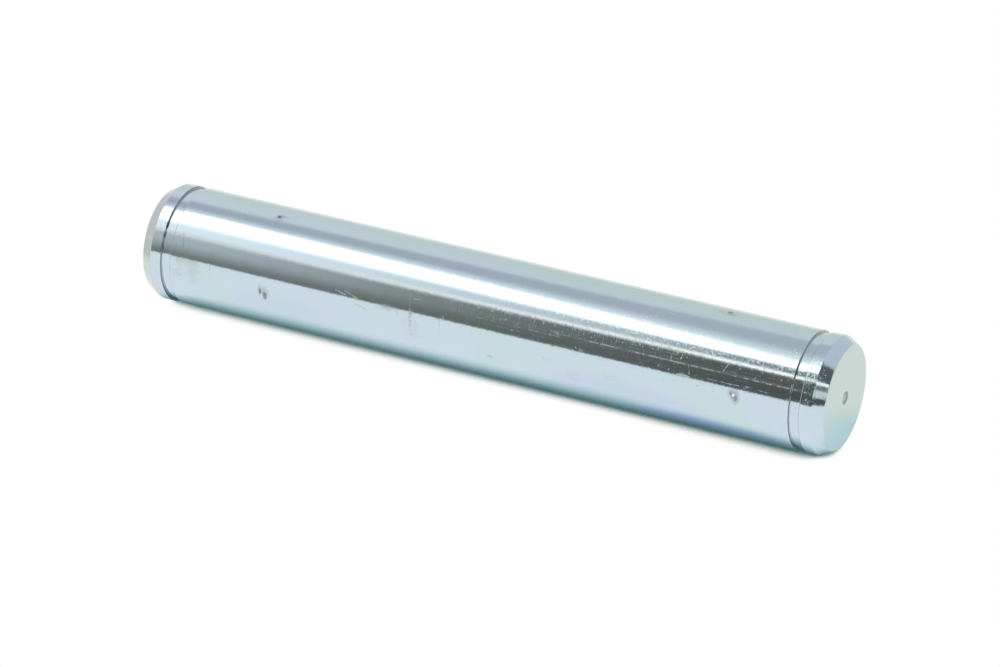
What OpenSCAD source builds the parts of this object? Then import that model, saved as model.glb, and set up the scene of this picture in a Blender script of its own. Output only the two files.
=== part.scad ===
// Headless pivot pin with a retaining ring groove near each end.
// The axis is +Z and the origin is the centre of the lower end face. Millimetres.

/* [Pin] */
// Diameter of the shank
pin_d = 12; // [8:0.5:24]
// Overall length, end face to end face
pin_l = 75; // [40:1:160]

/* [Ends] */
// How far each end chamfer cuts in from the shank's surface
chamfer_in = 0.7; // [0.4:0.05:1.2]
// Length of each end chamfer along the axis
chamfer_l = 1.2; // [0.6:0.1:2.4]
// Radius that blends each chamfer into the end face
face_edge_r = 0.2; // [0.05:0.05:0.4]
// Radius that blends each chamfer into the land
land_edge_r = 0.3; // [0.05:0.05:0.6]
// Diameter of the centre mark in each end face
mark_d = 1.4; // [0.8:0.1:2.4]
// Depth of the centre mark's cone
mark_depth = 0.3; // [0.1:0.05:0.6]

/* [Ring grooves] */
// Width of each groove along the axis
groove_w = 1.1; // [0.9:0.05:1.8]
// Depth of each groove below the shank's surface
groove_depth = 0.25; // [0.15:0.05:0.6]
// Length of the full-diameter land between the groove and the chamfer
land_l = 1.2; // [0.8:0.1:3]
// Radius that breaks each groove's two outer edges
groove_edge_r = 0.06; // [0.02:0.01:0.12]
// Radius in each groove's two floor corners, as the ring standard allows
groove_floor_r = 0.08; // [0.02:0.01:0.12]

/* [Hidden] */
pin_r = pin_d / 2;
face_r = pin_r - chamfer_in;
mark_r = mark_d / 2;
floor_r = pin_r - groove_depth;
// Heights of the lower groove's two walls above the lower end face
groove_outer_z = chamfer_l + land_l;
groove_inner_z = groove_outer_z + groove_w;
// Straight steps that stand for each rounded corner of the section
arc_steps = 5;
round_fn = 180;

// Corners of the lower half of the section as [radius, height, blend radius],
// from the centre mark out along the end face and up to the shank
LOWER_CORNERS = [
    [0, mark_depth, 0],
    [mark_r, 0, 0],
    [face_r, 0, face_edge_r],
    [pin_r, chamfer_l, land_edge_r],
    [pin_r, groove_outer_z, groove_edge_r],
    [floor_r, groove_outer_z, groove_floor_r],
    [floor_r, groove_inner_z, groove_floor_r],
    [pin_r, groove_inner_z, groove_edge_r]
];

// The upper half mirrors the lower one about the middle of the length
UPPER_CORNERS = [
    for (i = [len(LOWER_CORNERS) - 1:-1:0])
        [LOWER_CORNERS[i][0], pin_l - LOWER_CORNERS[i][1], LOWER_CORNERS[i][2]]
];

SECTION_CORNERS = concat(LOWER_CORNERS, UPPER_CORNERS);

function point_of(corner) = [corner[0], corner[1]];
function unit(v) = v / norm(v);

// Points of an arc of radius r about a centre, tangent to both sides of a corner
function arc_points(corner, towards_last, towards_next, r) =
    let (
        half_angle = acos(towards_last * towards_next) / 2,
        bisector = unit(towards_last + towards_next),
        centre = corner + bisector * r / sin(half_angle),
        tangent_l = r / tan(half_angle),
        start = corner + towards_last * tangent_l - centre,
        end = corner + towards_next * tangent_l - centre,
        start_angle = atan2(start[1], start[0]),
        swing = atan2(end[1], end[0]) - start_angle,
        turn = swing > 180 ? swing - 360 : swing < -180 ? swing + 360 : swing
    )
    [
        for (i = [0:arc_steps])
            centre + r * [cos(start_angle + turn * i / arc_steps), sin(start_angle + turn * i / arc_steps)]
    ];

// A corner with a blend radius becomes an arc, and a sharp one stays a point
function blended(corners, i) =
    let (
        count = len(corners),
        here = point_of(corners[i]),
        last = point_of(corners[(i + count - 1) % count]),
        next = point_of(corners[(i + 1) % count])
    )
    corners[i][2] == 0 ? [here] : arc_points(here, unit(last - here), unit(next - here), corners[i][2]);

function section_points(corners) = [for (i = [0:len(corners) - 1]) each blended(corners, i)];

module pivot_pin() {
    color([0.74, 0.80, 0.82])
        rotate_extrude($fn = round_fn)
            polygon(section_points(SECTION_CORNERS));
}

pivot_pin();
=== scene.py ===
"""Looks of a headless pivot pin with two retaining ring grooves, laid on a white table under a softbox."""

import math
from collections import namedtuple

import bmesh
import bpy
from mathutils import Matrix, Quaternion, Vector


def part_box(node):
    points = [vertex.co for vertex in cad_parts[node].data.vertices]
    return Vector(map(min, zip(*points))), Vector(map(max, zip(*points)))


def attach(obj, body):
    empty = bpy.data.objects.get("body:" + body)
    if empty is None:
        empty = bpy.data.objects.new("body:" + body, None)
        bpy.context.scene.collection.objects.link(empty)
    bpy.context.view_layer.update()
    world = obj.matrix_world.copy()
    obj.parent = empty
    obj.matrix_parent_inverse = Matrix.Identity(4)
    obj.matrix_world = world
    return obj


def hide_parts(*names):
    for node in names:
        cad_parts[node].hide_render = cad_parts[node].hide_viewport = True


bl_info = {
    "name": "Pivot Pin",
    "version": (1, 0, 0),
    "blender": (4, 5, 0),
    "location": "View3D > Sidebar > Pivot Pin",
    "description": "Turns and zinc plates a grooved pivot pin, and lays out the table, studio and camera",
    "category": "Object",
}

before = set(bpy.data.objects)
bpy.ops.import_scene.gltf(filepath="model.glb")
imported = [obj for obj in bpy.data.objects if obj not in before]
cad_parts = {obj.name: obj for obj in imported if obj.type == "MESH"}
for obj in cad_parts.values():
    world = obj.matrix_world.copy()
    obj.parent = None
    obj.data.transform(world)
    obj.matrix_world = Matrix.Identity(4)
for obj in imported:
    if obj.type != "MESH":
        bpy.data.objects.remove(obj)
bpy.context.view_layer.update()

MM = 0.001
PIN_LOW, PIN_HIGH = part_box("pivot_pin")
PIN_RADIUS = min(PIN_HIGH.x, -PIN_LOW.x)
PIN_LENGTH = PIN_HIGH.z - PIN_LOW.z

# The table touches the pin's side. Its normal and its front direction lie square to the pin's axis.
TABLE_AZIMUTH = math.radians(45)
TABLE_NORMAL = Vector((math.sin(TABLE_AZIMUTH), -math.cos(TABLE_AZIMUTH), 0))
TABLE_FRONT = Vector((math.cos(TABLE_AZIMUTH), math.sin(TABLE_AZIMUTH), 0))
# Bearing of the front direction about the pin's axis. The turn of a place on the shank counts from there
# towards the top.
FRONT_BEARING = math.degrees(math.atan2(TABLE_FRONT.y, TABLE_FRONT.x))

# A pressed mark: its height on the pin and turn from the front, its half sizes along and around, its depth,
# and how dark its halo and its floor are
Dent = namedtuple("Dent", "height turn half_length half_width depth halo floor")
DENTS = (
    Dent(13.45, 79.8, 0.25, 0.28, 0.05, 0.30, 0.75),
    Dent(13.85, -2.2, 0.15, 0.40, 0.05, 0.25, 0.70),
    Dent(14.40, -6.0, 0.27, 0.50, 0.08, 0.30, 0.70),
    Dent(62.30, 95.5, 0.36, 0.34, 0.05, 0.40, 0.70),
    Dent(65.45, 8.0, 0.20, 0.30, 0.04, 0.25, 0.40),
    Dent(65.95, 3.6, 0.22, 0.40, 0.08, 0.40, 0.55),
)

# A scratch: its two ends as height and turn, its half width and how strongly it dulls the plate
Scratch = namedtuple("Scratch", "height turn end_height end_turn half_width strength")
# Long scratches along the pin, broken into dashes
DRAGGED_SCRATCHES = (
    Scratch(46.5, 25.0, 73.0, 24.2, 0.09, 0.9),
    Scratch(52.0, 18.9, 60.5, 19.1, 0.06, 0.3),
    Scratch(60.0, 15.8, 70.5, 16.4, 0.07, 0.4),
    Scratch(36.0, 22.8, 47.0, 22.2, 0.07, 0.5),
    Scratch(38.5, 18.5, 46.5, 18.2, 0.06, 0.35),
)
# Short scratches, most of them round the pin
SHORT_SCRATCHES = (
    Scratch(4.30, 11.0, 4.35, -5.0, 0.07, 0.3),
    Scratch(4.45, 38.0, 4.80, 25.0, 0.08, 0.5),
    Scratch(8.05, 13.5, 8.15, -5.0, 0.09, 0.6),
    Scratch(22.3, 17.0, 23.4, 14.8, 0.09, 0.8),
    Scratch(23.3, 18.6, 24.8, 13.7, 0.09, 0.8),
    Scratch(24.5, 8.2, 25.9, 4.9, 0.08, 1.0),
    Scratch(28.95, 1.5, 29.0, -3.0, 0.08, 0.4),
    Scratch(29.2, 11.5, 29.3, 4.2, 0.08, 0.6),
    Scratch(30.3, 29.0, 30.7, 12.0, 0.14, 0.35),
    Scratch(30.7, 12.0, 30.75, -0.8, 0.26, 0.9),
    Scratch(30.7, -0.8, 30.85, -12.3, 0.10, 0.7),
    Scratch(30.7, -20.7, 31.15, -26.9, 0.12, 0.7),
    Scratch(30.9, 26.0, 31.5, 26.7, 0.09, 0.9),
    Scratch(31.3, 2.5, 32.3, -1.5, 0.09, 0.4),
    Scratch(33.9, 13.0, 34.0, -4.6, 0.08, 0.5),
    Scratch(46.85, -4.5, 46.95, -11.0, 0.08, 0.4),
    Scratch(48.4, -10.5, 48.7, -15.5, 0.08, 0.4),
    Scratch(50.0, -30.0, 50.1, -33.0, 0.10, 0.9),
    Scratch(52.1, -6.0, 53.3, -2.4, 0.08, 0.5),
    Scratch(58.7, 30.3, 58.8, 26.2, 0.07, 0.8),
    Scratch(59.75, 28.2, 59.85, 32.5, 0.07, 0.6),
    Scratch(60.7, 24.6, 60.9, 17.3, 0.06, 0.6),
    Scratch(64.3, 26.0, 64.7, 33.9, 0.07, 0.7),
)

# A patch with a cast of its own: its middle as height and turn, its half sizes along and around, and its
# strength
Patch = namedtuple("Patch", "height turn half_length half_width strength")
SMUDGES = (
    Patch(5.5, 3.0, 2.2, 1.5, 0.6),
    Patch(4.7, -5.0, 0.22, 0.22, 0.8),
    Patch(14.1, 84.0, 1.1, 0.5, 0.9),
    Patch(62.3, 95.5, 1.3, 0.8, 0.9),
    Patch(30.9, -2.0, 1.2, 1.3, 0.4),
    Patch(27.5, 11.5, 2.0, 0.4, 0.6),
    Patch(39.5, -14.4, 0.3, 0.25, 1.0),
    Patch(48.6, -14.0, 0.8, 0.9, 0.2),
    Patch(52.6, -4.5, 0.8, 0.5, 0.25),
)
LILAC_FILMS = (
    Patch(62.5, -43.0, 8.0, 1.3, 1.0),
    Patch(54.0, -24.0, 9.0, 1.8, 0.25),
    Patch(16.0, -20.0, 6.0, 2.0, 0.15),
)
# Where the plate is worn to a fine grain
GRAINY = (
    Patch(57.0, 43.0, 21.0, 0.5, 1.0),
    Patch(73.3, 31.0, 0.8, 2.2, 0.8),
)
# Where short ticks round the pin lie close together
TICKED = (
    Patch(46.0, 29.5, 17.0, 1.1, 1.0),
)
# Spots that are rubbed quite dull
RUBBED = (
    Patch(60.3, 13.7, 0.75, 0.15, 1.0),
)
# A painted highlight: a spot in a mark painted near white, for the glint that its hollow shows
GLINTS = (
    Patch(65.72, 6.2, 0.15, 0.20, 1.0),
)


class PinSizes(bpy.types.PropertyGroup):
    """Sizes of the turned pin."""

    radius: bpy.props.FloatProperty(
        name="Radius", description="Radius of the shank",
        default=PIN_RADIUS, unit="LENGTH")
    length: bpy.props.FloatProperty(
        name="Length", description="Length from end face to end face",
        default=PIN_LENGTH, unit="LENGTH")
    chamfer_in: bpy.props.FloatProperty(
        name="Chamfer In", description="How far each chamfer cuts in",
        default=0.7 * MM, unit="LENGTH")
    chamfer_length: bpy.props.FloatProperty(
        name="Chamfer Length", description="Length of each chamfer",
        default=1.2 * MM, unit="LENGTH")
    face_edge: bpy.props.FloatProperty(
        name="Face Edge", description="Blend of chamfer and end face",
        default=0.2 * MM, unit="LENGTH")
    land_edge: bpy.props.FloatProperty(
        name="Land Edge", description="Blend of chamfer and land",
        default=0.3 * MM, unit="LENGTH")
    mark_radius: bpy.props.FloatProperty(
        name="Mark Radius", description="Radius of each centre mark",
        default=0.7 * MM, unit="LENGTH")
    mark_depth: bpy.props.FloatProperty(
        name="Mark Depth", description="Depth of each centre mark",
        default=0.3 * MM, unit="LENGTH")
    land_length: bpy.props.FloatProperty(
        name="Land Length", description="Length of each land",
        default=1.2 * MM, unit="LENGTH")
    groove_width: bpy.props.FloatProperty(
        name="Groove Width", description="Width of each ring groove",
        default=1.1 * MM, unit="LENGTH")
    groove_depth: bpy.props.FloatProperty(
        name="Groove Depth", description="Depth of each ring groove",
        default=0.25 * MM, unit="LENGTH")
    groove_edge: bpy.props.FloatProperty(
        name="Groove Edge", description="Break of each groove's outer edges",
        default=0.06 * MM, unit="LENGTH")
    groove_corner: bpy.props.FloatProperty(
        name="Groove Corner", description="Radius in each groove's floor corners",
        default=0.08 * MM, unit="LENGTH")


class PlateFinish(bpy.types.PropertyGroup):
    """Colours and gloss of the zinc plate."""

    zinc: bpy.props.FloatVectorProperty(
        name="Zinc", description="Colour of the clean plate",
        default=(0.595, 0.705, 0.78), subtype="COLOR")
    zinc_green: bpy.props.FloatVectorProperty(
        name="Green Cast", description="Colour of the plate where its film is thin",
        default=(0.575, 0.715, 0.745), subtype="COLOR")
    zinc_lilac: bpy.props.FloatVectorProperty(
        name="Lilac Cast", description="Colour of the plate where its film is thick",
        default=(0.60, 0.69, 0.81), subtype="COLOR")
    lilac_film: bpy.props.FloatVectorProperty(
        name="Lilac Film", description="Colour of the patches with the thickest film",
        default=(0.47, 0.52, 0.80), subtype="COLOR")
    rub: bpy.props.FloatVectorProperty(
        name="Rub", description="Colour of dull scratches and specks",
        default=(0.66, 0.70, 0.69), subtype="COLOR")
    smudge: bpy.props.FloatVectorProperty(
        name="Smudge", description="Colour of the dull patches",
        default=(0.53, 0.52, 0.55), subtype="COLOR")
    # Real stain round the pressed marks, and also the colour of the painted shade in the ring grooves and
    # centre marks
    stain_and_shade: bpy.props.FloatVectorProperty(
        name="Stain", description="Colour around the pressed marks",
        default=(0.19, 0.19, 0.19), subtype="COLOR")
    # Painted highlight: the near-white colour of the painted glint in a mark
    painted_glint: bpy.props.FloatVectorProperty(
        name="Bare", description="Colour of bared bright steel",
        default=(0.90, 0.91, 0.90), subtype="COLOR")
    roughness: bpy.props.FloatProperty(
        name="Roughness", description="Roughness of the clean plate",
        default=0.105, subtype="FACTOR")
    comb: bpy.props.FloatProperty(
        name="Comb", description="How far the grinding marks tilt the surface to and fro",
        default=0.035)
    grain: bpy.props.FloatProperty(
        name="Grain", description="How far the plate's fine grain tilts the surface",
        default=0.03)


class StudioLook(bpy.types.PropertyGroup):
    """Camera place and table of the studio."""

    camera_azimuth: bpy.props.FloatProperty(
        name="Camera Azimuth", description="Bearing of the camera about the pin",
        default=math.radians(106.81), subtype="ANGLE")
    camera_elevation: bpy.props.FloatProperty(
        name="Camera Elevation", description="Height of the camera over the lower end face's plane",
        default=math.radians(22.61), subtype="ANGLE")
    camera_roll: bpy.props.FloatProperty(
        name="Camera Roll", description="Turn of the camera about its line of sight",
        default=math.radians(103.30), subtype="ANGLE")
    camera_distance: bpy.props.FloatProperty(
        name="Camera Distance", description="Distance from the camera to its aim",
        default=531.64 * MM, unit="LENGTH")
    aim_height: bpy.props.FloatProperty(
        name="Aim Height", description="Height of the camera's aim on the pin",
        default=38.18 * MM, unit="LENGTH")
    aim_side: bpy.props.FloatProperty(
        name="Aim Side", description="How far the aim lies beside the pin's axis",
        default=1.62 * MM, unit="LENGTH")
    lens: bpy.props.FloatProperty(
        name="Lens", description="Focal length in millimetres on a 36 mm sensor",
        default=192.3)
    table_size: bpy.props.FloatProperty(
        name="Table Size",
        description="Length of the table along the pin, and twice its reach behind the pin",
        default=1.2, unit="LENGTH")
    table_front: bpy.props.FloatProperty(
        name="Table Front", description="Distance from the pin to the table's front edge",
        default=0.17, unit="LENGTH")
    table_white: bpy.props.FloatVectorProperty(
        name="Table White", description="Colour of the table",
        default=(0.93, 0.93, 0.93), subtype="COLOR")
    upper_table: bpy.props.FloatVectorProperty(
        name="Upper Table",
        description="Colour of the table beyond the pin's upper end, as the end mirrors it",
        default=(0.96, 0.93, 0.84), subtype="COLOR")
    upper_shade: bpy.props.FloatVectorProperty(
        name="Upper Shade",
        description="Colour of the table close to the upper end face, as the face mirrors it",
        default=(0.68, 0.82, 0.85), subtype="COLOR")
    lower_table: bpy.props.FloatVectorProperty(
        name="Lower Table",
        description="Colour of the table beyond the pin's lower end, as the end mirrors it",
        default=(1.0, 0.96, 0.83), subtype="COLOR")
    lower_dusk: bpy.props.FloatVectorProperty(
        name="Lower Dusk",
        description="Colour of the table far beyond the lower end, as the end mirrors it",
        default=(0.80, 0.71, 0.65), subtype="COLOR")
    table_back: bpy.props.FloatVectorProperty(
        name="Table Back", description="Colour of the table behind the pin, as the pin mirrors it",
        default=(0.87, 0.89, 0.86), subtype="COLOR")
    shadow_tint: bpy.props.FloatVectorProperty(
        name="Shadow Tint", description="Colour of the table's darkest contact shadow",
        default=(0.02, 0.095, 0.105), subtype="COLOR")
    shadow_edge: bpy.props.FloatVectorProperty(
        name="Shadow Edge", description="Cast of the contact shadow's soft edge",
        default=(0.6, 0.9, 0.88), subtype="COLOR")
    mirrored_shadow: bpy.props.FloatVectorProperty(
        name="Mirrored Shadow",
        description="Colour of the darkest contact shadow, as the pin mirrors it",
        default=(0.095, 0.205, 0.21), subtype="COLOR")
    mirrored_dusk: bpy.props.FloatVectorProperty(
        name="Mirrored Dusk",
        description="Colour of the half lit table beside the pin, as the pin mirrors it",
        default=(0.63, 0.76, 0.78), subtype="COLOR")
    underside: bpy.props.FloatVectorProperty(
        name="Underside", description="Colour of the table right under the pin, as the pin mirrors it",
        default=(0.34, 0.38, 0.38), subtype="COLOR")


class Value:
    """An output socket of a node tree. Arithmetic on it adds Math nodes."""

    def __init__(self, graph, socket):
        self.graph = graph
        self.socket = socket

    def out(self, name):
        """Another output of the same node."""
        return Value(self.graph, self.socket.node.outputs[name])

    def math(self, operation, *operands):
        """A Math node on sockets and numbers."""
        return self.graph.add("ShaderNodeMath", {"operation": operation}, dict(enumerate(operands)))

    def __add__(self, other):
        return self.math("ADD", self, other)

    __radd__ = __add__

    def __sub__(self, other):
        return self.math("SUBTRACT", self, other)

    def __rsub__(self, other):
        return self.math("SUBTRACT", other, self)

    def __mul__(self, other):
        return self.math("MULTIPLY", self, other)

    __rmul__ = __mul__

    def __truediv__(self, other):
        return self.math("DIVIDE", self, other)

    def __pow__(self, other):
        return self.math("POWER", self, other)

    def __abs__(self):
        return self.math("ABSOLUTE", self)


class Graph:
    """A node tree that is built by plain calls."""

    # Sockets of a Mix node that mixes colours
    MIX_FACTOR, MIX_A, MIX_B, MIX_RESULT = 0, 6, 7, 2

    def __init__(self, tree):
        self.tree = tree
        tree.nodes.clear()

    def add(self, kind, settings, inputs, output=0):
        """One node of a type: its settings are set first, then its sockets' values or links."""
        node = self.tree.nodes.new(kind)
        for name, setting in settings.items():
            setattr(node, name, setting)
        for key, value in inputs.items():
            if isinstance(value, Value):
                self.tree.links.new(value.socket, node.inputs[key])
            else:
                node.inputs[key].default_value = value
        return Value(self, node.outputs[output]) if node.outputs else None

    def mix(self, factor, a, b, blend="MIX"):
        """Two colours mixed."""
        settings = {"data_type": "RGBA", "blend_type": blend}
        inputs = {self.MIX_FACTOR: factor, self.MIX_A: a, self.MIX_B: b}
        return self.add("ShaderNodeMix", settings, inputs, self.MIX_RESULT)

    def vector(self, operation, a, b, output=0):
        """A Vector Math node on sockets and vectors."""
        return self.add("ShaderNodeVectorMath", {"operation": operation}, {0: a, 1: b}, output)

    def rise(self, value, start, end):
        """0 at start and 1 at end, eased between them."""
        inputs = {"Value": value, "From Min": start, "From Max": end}
        return self.add("ShaderNodeMapRange", {"interpolation_type": "SMOOTHSTEP"}, inputs)

    def ramp(self, value, start, end):
        """0 at start and 1 at end, straight between them."""
        return self.add("ShaderNodeMapRange", {}, {"Value": value, "From Min": start, "From Max": end})

    def clamp(self, value, low=0.0, high=1.0):
        """The value, kept between low and high."""
        return self.add("ShaderNodeClamp", {}, {"Value": value, "Min": low, "Max": high})

    def noise(self, place, scale, detail=2.0):
        """A soft random field that strays to both sides of NOISE_MIDDLE."""
        return self.add("ShaderNodeTexNoise", {}, {"Vector": place, "Scale": scale, "Detail": detail})


NOISE_MIDDLE = 0.5
WHITE = (1.0, 1.0, 1.0, 1.0)


def rgba(colour):
    """A colour with full opacity, as the nodes take it."""
    return (*colour, 1.0)


def lower_corners(sizes):
    """Corners of the section's lower half as (radius, height, blend radius)."""
    face_radius = sizes.radius - sizes.chamfer_in
    floor_radius = sizes.radius - sizes.groove_depth
    groove_outer = sizes.chamfer_length + sizes.land_length
    groove_inner = groove_outer + sizes.groove_width
    mark_edge = 0.02 * MM
    return [
        (0.0, sizes.mark_depth, 0.0),
        (sizes.mark_radius, 0.0, mark_edge),
        (face_radius, 0.0, sizes.face_edge),
        (sizes.radius, sizes.chamfer_length, sizes.land_edge),
        (sizes.radius, groove_outer, sizes.groove_edge),
        (floor_radius, groove_outer, sizes.groove_corner),
        (floor_radius, groove_inner, sizes.groove_corner),
        (sizes.radius, groove_inner, sizes.groove_edge),
    ]


def blend_arc(last, corner, following, radius, steps):
    """Points of the arc that rounds one corner of the section."""
    back = (last - corner).normalized()
    ahead = (following - corner).normalized()
    half_angle = back.angle(ahead) / 2
    centre = corner + (back + ahead).normalized() * radius / math.sin(half_angle)
    start = corner + back * radius / math.tan(half_angle) - centre
    end = corner + ahead * radius / math.tan(half_angle) - centre
    first = math.atan2(start.y, start.x)
    swing = math.remainder(math.atan2(end.y, end.x) - first, math.tau)
    turns = (first + swing * i / steps for i in range(steps + 1))
    return [centre + Vector((math.cos(turn), math.sin(turn))) * radius for turn in turns]


def straight_stops(start, end):
    """Shares of a straight stretch at which it gets extra rings, close together beside the dents."""
    guard = 0.025 * MM
    coarse_step = 4 * MM
    fine_step = 0.09 * MM
    dent_reach = 0.9 * MM
    length = (end - start).length
    if length < 4 * guard:
        return []
    stops = {guard, length - guard}
    stops.update(i * coarse_step for i in range(1, int(length / coarse_step)))
    # Of all stretches only the shank's is this long
    if length > PIN_LENGTH / 2:
        for dent in DENTS:
            middle = dent.height * MM - start.y
            first = int((middle - dent_reach) / fine_step)
            last = int((middle + dent_reach) / fine_step)
            stops.update(i * fine_step for i in range(first, last + 1))
    ordered = sorted(stops)
    spaced = [ordered[0]]
    for stop in ordered[1:-1]:
        if stop - spaced[-1] > guard and ordered[-1] - stop > guard:
            spaced.append(stop)
    return [stop / length for stop in spaced + ordered[-1:]]


def section_points(sizes):
    """The whole section from the lower centre mark to the upper one, as (radius, height) vectors."""
    arc_steps = 6
    lower = lower_corners(sizes)
    upper = [(radius, sizes.length - height, blend) for radius, height, blend in reversed(lower)]
    corners = lower + upper
    places = [Vector((radius, height)) for radius, height, _ in corners]
    runs = [[places[0]]]
    for i in range(1, len(corners) - 1):
        runs.append(blend_arc(places[i - 1], places[i], places[i + 1], corners[i][2], arc_steps))
    runs.append([places[-1]])
    points = list(runs[0])
    for run in runs[1:]:
        start, end = points[-1], run[0]
        points += [start.lerp(end, share) for share in straight_stops(start, end)]
        points += run
    return points


def dent_depth(height, turn, radius):
    """How far the marks press the surface in at a place on the shank."""
    # A low rim stands round each hollow, and three half sizes from its middle a mark is over
    rim_share = 0.5
    end_of_mark = 3 ** 2
    depth = 0.0
    for dent in DENTS:
        along = (height / MM - dent.height) / dent.half_length
        around = math.radians(turn - dent.turn) * radius / MM / dent.half_width
        reach = along * along + around * around
        if reach < end_of_mark:
            depth += dent.depth * MM * (1 - rim_share * reach) * math.exp(-reach)
    return depth


def dent_patch(dent, spread, strength):
    """The patch round a dent, spread to so many times its size."""
    return Patch(dent.height, dent.turn, dent.half_length * spread, dent.half_width * spread, strength)


def turned_mesh(sizes):
    """The pin's mesh: the section turned about the axis, with the marks pressed into the shank."""
    segments = 384
    # Only points this close to the shank's surface can be pressed in
    skin = 0.001 * MM
    points = section_points(sizes)
    mesh = bpy.data.meshes.new("pivot_pin_turned")
    bm = bmesh.new()
    bottom = bm.verts.new((0, 0, points[0].y))
    top = bm.verts.new((0, 0, points[-1].y))
    rings = []
    for point in points[1:-1]:
        ring = []
        for i in range(segments):
            bearing = math.tau * i / segments
            turn = math.remainder(FRONT_BEARING - math.degrees(bearing), 360)
            radius = point.x
            if radius > sizes.radius - skin:
                radius -= dent_depth(point.y, turn, sizes.radius)
            x, y = radius * math.cos(bearing), radius * math.sin(bearing)
            ring.append(bm.verts.new((x, y, point.y)))
        rings.append(ring)
    for i in range(segments):
        following = (i + 1) % segments
        bm.faces.new((bottom, rings[0][following], rings[0][i]))
        bm.faces.new((top, rings[-1][i], rings[-1][following]))
        for low, high in zip(rings, rings[1:]):
            bm.faces.new((low[i], low[following], high[following], high[i]))
    for face in bm.faces:
        face.smooth = True
    bm.normal_update()
    bm.to_mesh(mesh)
    bm.free()
    return mesh


# A place on the pin as sockets, in millimetres and degrees: in space, unrolled from the shank, its height,
# its turn and its distance from the axis. The last value is the length of one degree of turn on the shank.
Spot = namedtuple("Spot", "place unrolled height turn from_axis degree")
# Masks of the end faces, the centre marks and their rims, and the walls and feet of the ring grooves
Areas = namedtuple("Areas", "end mark mark_rim groove_walls groove_feet")
# Soft random fields: wide clouds, finer haze, where specks gather, what breaks lines into dashes, the
# grinding wheel's marks round the pin, and the plate's fine grain
Fields = namedtuple("Fields", "cloud haze clusters dashes comb grain")

# Marks are scattered in space that is squeezed by these, and come out long where it is squeezed. The
# grinding wheel's marks run round the pin, and what rubbed the pin since ran mostly along it.
DRAWN_OUT = (1.0, 1.0, 0.12)
DRAWN_FAR = (1.0, 1.0, 0.03)
WOUND_ROUND = (0.15, 0.15, 1.0)


def patches(graph, spot, places, inner, outer):
    """Mask of oval patches that fade between an inner and an outer share of their size."""
    mask = 0.0
    for place in places:
        along = (spot.height - place.height) / place.half_length
        around = (spot.turn - place.turn) * (spot.degree / place.half_width)
        inside = graph.rise(along * along + around * around, outer ** 2, inner ** 2)
        mask = inside * place.strength + mask
    return mask


def scratch_lines(graph, spot, scratches):
    """Mask of straight scratches on the unrolled shank."""
    core = 1 / 3
    mask = 0.0
    for scratch in scratches:
        start = Vector((scratch.height, scratch.turn * spot.degree, 0))
        run = Vector((scratch.end_height, scratch.end_turn * spot.degree, 0)) - start
        offset = graph.vector("SUBTRACT", spot.unrolled, tuple(start))
        ahead = graph.vector("DOT_PRODUCT", offset, tuple(run.normalized()), "Value")
        ahead = graph.clamp(ahead, 0.0, run.length)
        nearest = graph.vector("MULTIPLY", tuple(run.normalized()), ahead)
        beside = graph.vector("DISTANCE", offset, nearest, "Value")
        inside = graph.rise(beside, scratch.half_width, scratch.half_width * core)
        mask = inside * scratch.strength + mask
    return mask


def flecks(graph, place, cell, size, share):
    """Mask of small marks: one in each cell of the place's space, of which only a share is picked."""
    core = 0.4
    pick_fade = 0.02
    distance = graph.add("ShaderNodeTexVoronoi", {}, {"Vector": place, "Scale": 1 / cell}, "Distance")
    draw = graph.add("ShaderNodeSeparateColor", {}, {0: distance.out("Color")}, "Red")
    inside = graph.rise(distance, size / cell, size / cell * core)
    return inside * graph.rise(draw, 1 - share, 1 - share + pick_fade)


def spot_on_pin(graph, sizes):
    """The shaded place, measured along the pin's axis, round it and out from it."""
    place = graph.add("ShaderNodeTexCoord", {}, {}, "Object")
    place_mm = graph.vector("MULTIPLY", place, (1 / MM,) * 3)
    x = graph.add("ShaderNodeSeparateXYZ", {}, {0: place_mm}, "X")
    y, height = x.out("Y"), x.out("Z")
    turn = FRONT_BEARING - y.math("ARCTAN2", y, x) * math.degrees(1)
    degree = math.radians(1) * sizes.radius / MM
    unrolled = graph.add("ShaderNodeCombineXYZ", {}, {"X": height, "Y": turn * degree})
    return Spot(place_mm, unrolled, height, turn, (x * x + y * y) ** 0.5, degree)


def areas_of_pin(graph, sizes, spot, lengthwise):
    """Masks of the pin's areas, from its sizes and from how far the surface faces along the axis."""

    def fade(distance, edge, start, full):
        """Mask that starts and is full so many millimetres past an edge, or before it where negative."""
        return graph.rise(distance, edge + start, edge + full)

    face_radius = (sizes.radius - sizes.chamfer_in) / MM
    mark_radius = sizes.mark_radius / MM
    half_length = sizes.length / 2 / MM
    half_groove = sizes.groove_width / 2 / MM
    groove_height = (sizes.chamfer_length + sizes.land_length) / MM + half_groove
    from_groove = abs(abs(spot.height - half_length) - (half_length - groove_height))
    on_wall = graph.rise(abs(lengthwise), 0.3, 0.7)
    below_edge = fade(from_groove, half_groove, 0.04, 0.0)
    return Areas(
        end=fade(spot.from_axis, face_radius, 0.1, -0.2),
        mark=fade(spot.from_axis, mark_radius, 0.05, -0.1),
        mark_rim=fade(spot.from_axis, mark_radius, -0.45, -0.1),
        groove_walls=fade(from_groove, half_groove, 0.17, 0.05) * on_wall,
        groove_feet=fade(from_groove, half_groove, -0.21, -0.05) * below_edge,
    )


def fields_of_plate(graph, place):
    """The soft random fields that the plate's marks and casts are picked from."""
    return Fields(
        cloud=graph.noise(place, scale=0.16),
        haze=graph.noise(place, scale=0.9, detail=4.0),
        clusters=graph.noise(place, scale=0.45),
        dashes=graph.noise(place, scale=1.5, detail=3.0),
        comb=graph.noise(graph.vector("MULTIPLY", place, WOUND_ROUND), scale=8.0),
        grain=graph.noise(place, scale=4.5),
    )


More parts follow.
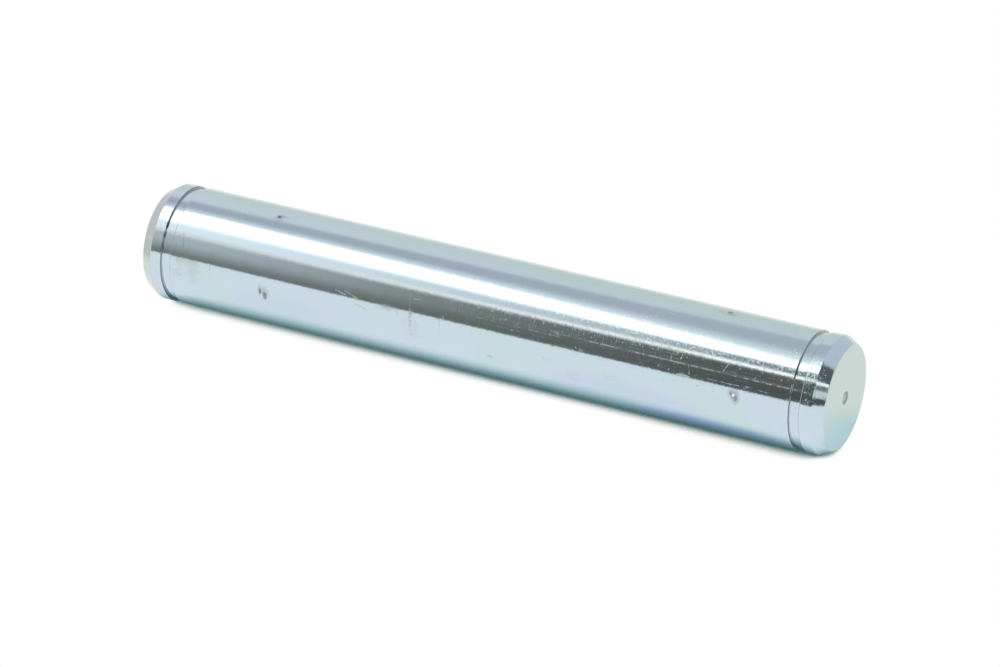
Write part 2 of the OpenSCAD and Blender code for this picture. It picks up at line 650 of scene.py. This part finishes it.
def rubs_on_plate(graph, spot, fields):
    """Mask of all that dulls the plate: specks, scratches, ticks and worn patches."""

    def between(faintest, mask):
        """A strength that goes from the faintest to full with the mask."""
        return mask * (1 - faintest) + faintest

    drawn_out = graph.vector("MULTIPLY", spot.place, DRAWN_OUT)
    drawn_far = graph.vector("MULTIPLY", spot.place, DRAWN_FAR)
    drag_lines = abs(graph.noise(drawn_far, scale=1.4) - NOISE_MIDDLE)
    line_edge = 0.03
    thin_lines = graph.rise(drag_lines, line_edge, 0.0) * graph.rise(fields.dashes, 0.46, 0.56)
    # Scattered marks and how much each kind dulls. They are strongest near the upper end and in clusters.
    kinds = (
        (flecks(graph, spot.place, cell=0.60, size=0.13, share=0.55), 0.8),
        (flecks(graph, spot.place, cell=0.33, size=0.08, share=0.35), 0.5),
        (flecks(graph, drawn_out, cell=0.55, size=0.085, share=0.40), 0.6),
        (thin_lines, 0.35),
    )
    # Heights between which the rubbing gets stronger
    rubbed_from, rubbed_fully = 22.0, 52.0
    rubbed_end = between(0.15, graph.rise(spot.height, rubbed_from, rubbed_fully))
    gathered = between(0.25, graph.rise(fields.clusters, 0.38, 0.60))
    scattered = sum(mask * dulling for mask, dulling in kinds) * rubbed_end * gathered

    # Marks at places of their own
    dashed = between(0.15, graph.rise(fields.dashes, 0.46, 0.54))
    uneven = between(0.4, graph.rise(fields.grain, 0.38, 0.52))
    ticked = graph.rise(fields.comb, 0.57, 0.68)
    grainy = graph.rise(fields.grain, 0.50, 0.58)
    placed = (
        (scratch_lines(graph, spot, DRAGGED_SCRATCHES) * dashed, 1.0),
        (scratch_lines(graph, spot, SHORT_SCRATCHES) * uneven, 1.0),
        (patches(graph, spot, TICKED, inner=0.3, outer=1.2) * ticked, 0.45),
        (patches(graph, spot, GRAINY, inner=0.6, outer=1.2) * grainy, 0.34),
        (patches(graph, spot, RUBBED, inner=0.7, outer=1.1), 1.0),
    )
    return scattered + sum(mask * dulling for mask, dulling in placed)


def tilted_normal(graph, fields, areas, spot, facing, finish):
    """The surface's normal, with grinding marks round the shank and the lathe's rings on the end faces."""
    # Ground metal tilts a little to and fro round the pin, so that edges mirrored in it look combed
    around = graph.vector("CROSS_PRODUCT", (0.0, 0.0, 1.0), facing)
    tilt = (fields.comb - NOISE_MIDDLE) * finish.comb + (fields.grain - NOISE_MIDDLE) * finish.grain
    tilted = graph.vector("ADD", facing, graph.vector("MULTIPLY", around, tilt))
    tilted = graph.add("ShaderNodeVectorMath", {"operation": "NORMALIZE"}, {0: tilted})

    ring_depth = 0.0016 * MM
    out_from_axis = graph.add("ShaderNodeCombineXYZ", {}, {"X": spot.from_axis})
    rings = graph.noise(out_from_axis, scale=5.0, detail=3.0) * areas.end
    inputs = {"Strength": 1.0, "Distance": ring_depth, "Height": rings, "Normal": tilted}
    return graph.add("ShaderNodeBump", {}, inputs)


def zinc_plate(sizes, finish):
    """Bright bluish zinc over turned and ground steel, with fine scratches, specks and contact marks,
    painted shade in the ring grooves and centre marks, and a painted highlight in one mark.
    """
    material = bpy.data.materials.new("zinc_plated_steel")
    material.use_nodes = True
    graph = Graph(material.node_tree)
    spot = spot_on_pin(graph, sizes)
    facing = graph.add("ShaderNodeNewGeometry", {}, {}, "Normal")
    lengthwise = graph.add("ShaderNodeSeparateXYZ", {}, {0: facing}, "Z")
    areas = areas_of_pin(graph, sizes, spot, lengthwise)
    fields = fields_of_plate(graph, spot.place)

    shank_only = 1 - areas.end
    rubs = graph.clamp(rubs_on_plate(graph, spot, fields) * shank_only)
    mottle = graph.rise(fields.haze, 0.34, 0.60)
    smudges = patches(graph, spot, SMUDGES, inner=0.5, outer=1.2)
    smudges = graph.clamp(smudges * mottle * shank_only)
    lilac = patches(graph, spot, LILAC_FILMS, inner=0.1, outer=1.3)
    glints = patches(graph, spot, GLINTS, inner=0.5, outer=1.0)
    dent_floors = [dent_patch(dent, spread=1.0, strength=dent.floor) for dent in DENTS]
    dent_halos = [dent_patch(dent, spread=2.6, strength=dent.halo) for dent in DENTS]
    floors = patches(graph, spot, dent_floors, inner=0.5, outer=1.1)
    halos = patches(graph, spot, dent_halos, inner=0.3, outer=1.0)

    colour = graph.mix(graph.rise(fields.cloud, 0.38, 0.50), rgba(finish.zinc_green), rgba(finish.zinc))
    # Each layer: where it lies, how much it hides of what is under it, and its colour
    layers = (
        (graph.rise(fields.cloud, 0.52, 0.66), 0.6, finish.zinc_lilac),
        (lilac, 1.0, finish.lilac_film),
        (areas.end, 0.8, finish.zinc_green),
        (smudges, 0.5, finish.smudge),
        (rubs, 0.3, finish.rub),
        (halos * mottle, 1.0, finish.stain_and_shade),
        (floors, 1.0, finish.stain_and_shade),
        # Painted shade: the ring grooves' walls and feet are painted darker
        (areas.groove_feet, 0.3, finish.stain_and_shade),
        (areas.groove_walls, 0.4, finish.stain_and_shade),
        # A painted highlight in one mark
        (glints, 1.0, finish.painted_glint),
    )
    for mask, cover, layer in layers:
        colour = graph.mix(mask * cover, colour, rgba(layer))
    # Painted shade: a centre mark is painted darker, darkest at its rim
    middle_shade, rim_shade = 0.25, 0.70
    painted_mark_shade = areas.mark * (areas.mark_rim * (rim_shade - middle_shade) + middle_shade)
    colour = graph.mix(painted_mark_shade, colour, rgba(finish.stain_and_shade), "MULTIPLY")

    # What changes the plate's roughness, and by how much
    roughened = (
        (fields.haze - NOISE_MIDDLE, 0.04),
        (rubs, 0.42),
        (smudges, 0.12),
        (floors, 0.15),
        (areas.end, 0.13),
    )
    roughness = sum(mask * added for mask, added in roughened) + finish.roughness
    # Grime on the smudges and in the pressed marks isn't metal
    smudge_grime, floor_grime = 0.12, 0.3
    metal = 1 - smudges * smudge_grime - floors * floor_grime
    normal = tilted_normal(graph, fields, areas, spot, facing, finish)
    shader = graph.add("ShaderNodeBsdfPrincipled", {}, {
        "Base Color": colour, "Metallic": metal, "Roughness": roughness, "Normal": normal})
    graph.add("ShaderNodeOutputMaterial", {}, {"Surface": shader})
    return material


def seen_table(graph, look, open_sky, height):
    """The table's colour to the camera: white, but for the narrow shadow under the pin."""
    falloff = 2.6
    to_upper = graph.ramp(height, 0.0, PIN_LENGTH)
    off_end = graph.rise(height, PIN_LENGTH - 1.5 * MM, PIN_LENGTH + 1.5 * MM)
    # How open the sky is where the shadow is full and where it ends. The shadow widens towards the upper
    # end, and once more past it.
    openness = open_sky ** 0.5
    lowest_full, full_past_end = 0.252, 0.10
    lowest_end, end_towards_upper, end_past_end = 0.362, 0.10, 0.24
    shadow_full = off_end * full_past_end + lowest_full
    shadow_end = to_upper * end_towards_upper + lowest_end + off_end * end_past_end
    share = graph.clamp((openness - shadow_full) / (shadow_end - shadow_full))
    soft_edge = graph.mix(share, rgba(look.shadow_edge), WHITE)
    return graph.mix(share ** falloff, rgba(look.shadow_tint), soft_edge)


def mirrored_table(graph, look, open_sky, height, frontward):
    """The table's colour in the pin: the shadow reaches further, and what lies round it is dimmer."""
    half_length = PIN_LENGTH / 2
    near_end = graph.rise(abs(height - half_length), half_length - 2 * MM, half_length + 1 * MM)
    # More of the sky has to be open for full light near the ends than at the middle
    middle_light, end_light = 0.5, 0.75
    full_light = near_end * (end_light - middle_light) + middle_light
    darkest = 0.11
    lit_share = graph.ramp(graph.clamp(open_sky / full_light) ** 2, darkest, 1.0)
    behind_pin = graph.rise(frontward, 0.5 * MM, -0.5 * MM)
    unlit = graph.mix(behind_pin, rgba(look.mirrored_shadow), rgba(look.underside))
    dusk_level = 0.6
    half_lit = graph.mix(graph.ramp(lit_share, 0.0, dusk_level), unlit, rgba(look.mirrored_dusk))
    colour = graph.mix(graph.ramp(lit_share, dusk_level, 1.0), half_lit, WHITE)
    right_under = graph.rise(abs(frontward), 1.7 * MM, 0.5 * MM)
    colour = graph.mix(right_under, colour, rgba(look.underside))
    far_back = graph.rise(frontward, -2 * MM, -14 * MM)
    colour = graph.mix(far_back, colour, rgba(look.table_back))

    # Past the upper end and not far to the front, the table is dimmest close to the end face
    past_upper = graph.rise(height, PIN_LENGTH, PIN_LENGTH + 0.5 * MM)
    past_upper = past_upper * graph.rise(frontward, 6 * MM, 2 * MM)
    close_by = graph.rise(height, PIN_LENGTH + 5.5 * MM, PIN_LENGTH + 1.5 * MM)
    close_by = close_by * graph.rise(frontward, -11 * MM, -6 * MM)
    beyond_upper = graph.mix(close_by, rgba(look.upper_table), rgba(look.upper_shade))
    colour = graph.mix(past_upper, colour, beyond_upper)

    # Past the lower end it dims further out, in a stretch that widens away from the pin
    far_out = graph.rise(height, -10 * MM, -22 * MM)
    beyond_lower = graph.mix(far_out, rgba(look.lower_table), rgba(look.lower_dusk))
    narrowest, widening = 8 * MM, 35 * MM
    half_width = graph.ramp(height, 0.0, -20 * MM) * widening + narrowest
    past_lower = graph.rise(height, 1 * MM, -1 * MM)
    past_lower = past_lower * graph.rise(abs(frontward) / half_width, 1.0, 0.6)
    return graph.mix(past_lower, colour, beyond_lower)


def white_table(look):
    """A white table top that shows its contact shadow, and that is clear from below."""
    material = bpy.data.materials.new("white_table")
    material.use_nodes = True
    graph = Graph(material.node_tree)
    shadow_reach = 14 * MM
    open_sky = graph.add("ShaderNodeAmbientOcclusion", {"samples": 16}, {"Distance": shadow_reach}, "AO")
    place = graph.add("ShaderNodeTexCoord", {}, {}, "Object")
    height = graph.add("ShaderNodeSeparateXYZ", {}, {0: place}, "Z")
    frontward = graph.vector("DOT_PRODUCT", place, tuple(TABLE_FRONT), "Value")
    seen = seen_table(graph, look, open_sky, height)
    mirrored = mirrored_table(graph, look, open_sky, height, frontward)

    light_path = graph.add("ShaderNodeLightPath", {}, {}, "Is Camera Ray")
    by_mirror = light_path.out("Is Glossy Ray") + light_path.out("Is Transmission Ray")
    colour = graph.mix(by_mirror, seen, mirrored)
    glow = graph.add("ShaderNodeEmission", {}, {"Color": colour, "Strength": 1.0})
    lit = graph.add("ShaderNodeBsdfDiffuse", {}, {"Color": rgba(look.table_white)})
    # Only the light that the table throws on is shaded. The camera and mirrors get the glow.
    top_side = graph.add("ShaderNodeMixShader", {}, {0: light_path + by_mirror, 1: lit, 2: glow})
    clear = graph.add("ShaderNodeBsdfTransparent", {}, {})
    behind = graph.add("ShaderNodeNewGeometry", {}, {}, "Backfacing")
    surface = graph.add("ShaderNodeMixShader", {}, {0: behind, 1: top_side, 2: clear})
    graph.add("ShaderNodeOutputMaterial", {}, {"Surface": surface})
    return material


# Strength of the studio's light. The levels of the surfaces below are divided by it.
STUDIO_PEAK = 3.0
NEUTRAL = (1.0, 1.0, 1.0)
WARM = (1.03, 1.0, 0.88)
CREAM = (1.05, 0.99, 0.94)
COOL = (0.98, 1.0, 1.09)
ROSY = (1.10, 0.97, 0.90)
GREENISH = (1.0, 1.02, 1.02)
GREENER = (1.01, 1.05, 0.98)

# How far a mirrored direction leans down the pin's axis at the shank's upper end and at its lower end
NEAR_LEAN = -0.337
FAR_LEAN = -0.433
# Under 1, so that the room changes fastest near the upper end
FAR_EASING = 0.6
# Leans between which the upper chamfer's cards take over, and the lower chamfer's
UPPER_LEAN = (-0.05, 0.15)
LOWER_LEAN = (-0.55, -0.75)

# One surface of the room round the table, from an edge onwards and over. An edge is two angles up from
# the table's front, in degrees, where the surface starts and where it is full. Edge and level differ
# between what the shank's upper end mirrors (near) and what its lower end mirrors (far). A lean limits a
# surface to a stretch.
Card = namedtuple("Card", "near_edge far_edge near_level far_level tint lean", defaults=(None,))
ROOM = (
    # The dim room in front, and the pale end wall beyond the pin's lower end
    Card((-9, -6), (-9, -6), 0.095, 0.20, WARM),
    Card((-6, 32), (-6, 32), 0.66, 0.66, NEUTRAL, (-0.375, -0.445)),
    # A thin pale rail in the dim room
    Card((19, 22), (19, 22), 0.26, 0.26, WARM, (-0.385, -0.345)),
    Card((22, 25), (22, 25), 0.11, 0.11, WARM, (-0.385, -0.345)),
    # A strip lamp, and the pale card between it and the softbox
    Card((41.5, 44.5), (35, 44), 1.6, 0.93, CREAM),
    Card((47, 50), (43, 51), 0.15, 1.16, NEUTRAL),
    # The softbox, and the wall over it that it lights
    Card((58.5, 62), (58, 77), 2.6, 2.4, NEUTRAL),
    Card((68, 76), (87.5, 94), 0.95, 1.05, NEUTRAL),
    Card((77, 103), (89, 106), 0.59, 0.55, COOL),
    # The pale wall behind the table
    Card((124, 131), (113, 125), 0.77, 0.83, GREENISH),
    Card((135, 176), (130, 176), 0.72, 0.74, GREENER),
    Card((175, 180), (175, 180), 0.76, 0.86, NEUTRAL),
)
# What the upper chamfer mirrors
UPPER_ROOM = (
    Card((-9, -6), (-9, -6), 0.09, 0.09, GREENISH),
    Card((11, 15), (11, 15), 0.80, 0.80, GREENISH),
    Card((29, 32), (29, 32), 0.20, 0.20, NEUTRAL),
    Card((40, 43), (40, 43), 1.4, 1.4, NEUTRAL),
    Card((47, 50), (47, 50), 0.14, 0.14, NEUTRAL),
    Card((82, 90), (82, 90), 0.70, 0.70, COOL),
    Card((175, 180), (175, 180), 0.90, 0.90, NEUTRAL),
)
# What the lower chamfer mirrors
LOWER_ROOM = (
    Card((-9, -5), (-9, -5), 0.74, 0.74, ROSY),
)


def room_light(graph, cards, over, to_far, along_pin):
    """Light from round the table: each card covers what comes before it, from its edge onwards."""
    light = rgba([1 / STUDIO_PEAK] * 3)
    for card in cards:
        start, full = (to_far * (far - near) + near for near, far in zip(card.near_edge, card.far_edge))
        share = graph.rise(over, start, full)
        if card.lean:
            share = share * graph.rise(along_pin, *card.lean)
        near_light, far_light = (
            rgba(level / STUDIO_PEAK * part for part in card.tint)
            for level in (card.near_level, card.far_level))
        light = graph.mix(share, light, graph.mix(to_far, near_light, far_light))
    return light


def studio_world():
    """A dark room with a softbox over the table, as the plate mirrors it, and white to the camera."""
    world = bpy.data.worlds.new("studio")
    world.use_nodes = True
    graph = Graph(world.node_tree)
    direction = graph.add("ShaderNodeTexCoord", {}, {}, "Generated")
    upward = graph.vector("DOT_PRODUCT", direction, tuple(TABLE_NORMAL), "Value")
    frontward = graph.vector("DOT_PRODUCT", direction, tuple(TABLE_FRONT), "Value")
    along_pin = graph.vector("DOT_PRODUCT", direction, (0.0, 0.0, 1.0), "Value")
    over = upward.math("ARCTAN2", upward, frontward) * math.degrees(1)
    to_far = graph.ramp(along_pin, NEAR_LEAN, FAR_LEAN) ** FAR_EASING

    light = room_light(graph, ROOM, over, to_far, along_pin)
    upper_light = room_light(graph, UPPER_ROOM, over, to_far, along_pin)
    lower_light = room_light(graph, LOWER_ROOM, over, to_far, along_pin)
    light = graph.mix(graph.rise(along_pin, *UPPER_LEAN), light, upper_light)
    light = graph.mix(graph.rise(along_pin, *LOWER_LEAN), light, lower_light)

    studio = graph.add("ShaderNodeBackground", {}, {"Color": light, "Strength": STUDIO_PEAK})
    white = graph.add("ShaderNodeBackground", {}, {"Color": WHITE, "Strength": 1.0})
    to_camera = graph.add("ShaderNodeLightPath", {}, {}, "Is Camera Ray")
    surface = graph.add("ShaderNodeMixShader", {}, {0: to_camera, 1: studio, 2: white})
    graph.add("ShaderNodeOutputWorld", {}, {"Surface": surface})
    return world


def table_object(look):
    """The table top, square to its normal, touching the side of the shank."""
    middle = TABLE_NORMAL * -PIN_RADIUS + Vector((0, 0, PIN_LENGTH / 2))
    half = look.table_size / 2
    up = Vector((0, 0, 1))
    reaches = ((look.table_front, -half), (look.table_front, half), (-half, half), (-half, -half))
    corners = [middle + TABLE_FRONT * ahead + up * along for ahead, along in reaches]
    mesh = bpy.data.meshes.new("table_top")
    mesh.from_pydata([tuple(corner) for corner in corners], [], [(0, 1, 2, 3)])
    mesh.update()
    if mesh.polygons[0].normal.dot(TABLE_NORMAL) < 0:
        mesh.flip_normals()
    table = bpy.data.objects.new("table_top", mesh)
    mesh.materials.append(white_table(look))
    bpy.context.scene.collection.objects.link(table)
    return table


def place_camera(look):
    """The camera looks across the table at the pin, turned so that the table lies level."""
    azimuth, elevation = look.camera_azimuth, look.camera_elevation
    side = Vector((math.cos(azimuth), math.sin(azimuth), 0))
    level = Vector((math.sin(azimuth), -math.cos(azimuth), 0))
    back = level * math.cos(elevation) + Vector((0, 0, math.sin(elevation)))
    aim = Vector((0, 0, look.aim_height)) + side * look.aim_side
    camera_data = bpy.data.cameras.new("studio_camera")
    camera_data.lens = look.lens
    camera_data.clip_start = 10 * MM
    camera = bpy.data.objects.new("studio_camera", camera_data)
    camera.location = aim + back * look.camera_distance
    camera.rotation_mode = "QUATERNION"
    camera.rotation_quaternion = back.to_track_quat("Z", "Y") @ Quaternion((0, 0, 1), look.camera_roll)
    bpy.context.scene.collection.objects.link(camera)
    bpy.context.scene.camera = camera


class PIVOTPIN_OT_turn_pin(bpy.types.Operator):
    """Turn the pin, press its marks in and plate it"""

    bl_idname = "pivotpin.turn_pin"
    bl_label = "Turn Pin"

    def execute(self, context):
        sizes = context.scene.pin_sizes
        mesh = turned_mesh(sizes)
        mesh.materials.append(zinc_plate(sizes, context.scene.plate_finish))
        pin = bpy.data.objects.new("pivot_pin_turned", mesh)
        context.scene.collection.objects.link(pin)
        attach(pin, "root")
        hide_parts("pivot_pin")
        return {"FINISHED"}


class PIVOTPIN_OT_set_stage(bpy.types.Operator):
    """Lay out the table, the studio's light and the camera"""

    bl_idname = "pivotpin.set_stage"
    bl_label = "Set Stage"

    def execute(self, context):
        look = context.scene.studio_look
        table_object(look)
        place_camera(look)
        context.scene.world = studio_world()
        context.scene.view_settings.view_transform = "Standard"
        return {"FINISHED"}


class PIVOTPIN_PT_sidebar(bpy.types.Panel):
    """Sizes, finish and steps of the pivot pin"""

    bl_idname = "PIVOTPIN_PT_sidebar"
    bl_label = "Pivot Pin"
    bl_space_type = "VIEW_3D"
    bl_region_type = "UI"
    bl_category = "Pivot Pin"

    def draw(self, context):
        for group in (context.scene.pin_sizes, context.scene.plate_finish, context.scene.studio_look):
            box = self.layout.box()
            for name in group.__annotations__:
                box.prop(group, name)
        for operator in (PIVOTPIN_OT_turn_pin, PIVOTPIN_OT_set_stage):
            self.layout.operator(operator.bl_idname)


CLASSES = (
    PinSizes,
    PlateFinish,
    StudioLook,
    PIVOTPIN_OT_turn_pin,
    PIVOTPIN_OT_set_stage,
    PIVOTPIN_PT_sidebar,
)


def register():
    for item in CLASSES:
        bpy.utils.register_class(item)
    bpy.types.Scene.pin_sizes = bpy.props.PointerProperty(type=PinSizes)
    bpy.types.Scene.plate_finish = bpy.props.PointerProperty(type=PlateFinish)
    bpy.types.Scene.studio_look = bpy.props.PointerProperty(type=StudioLook)


def unregister():
    del bpy.types.Scene.studio_look
    del bpy.types.Scene.plate_finish
    del bpy.types.Scene.pin_sizes
    for item in reversed(CLASSES):
        bpy.utils.unregister_class(item)


def main():
    register()
    bpy.ops.pivotpin.turn_pin()
    bpy.ops.pivotpin.set_stage()


if __name__ == "__main__":
    main()
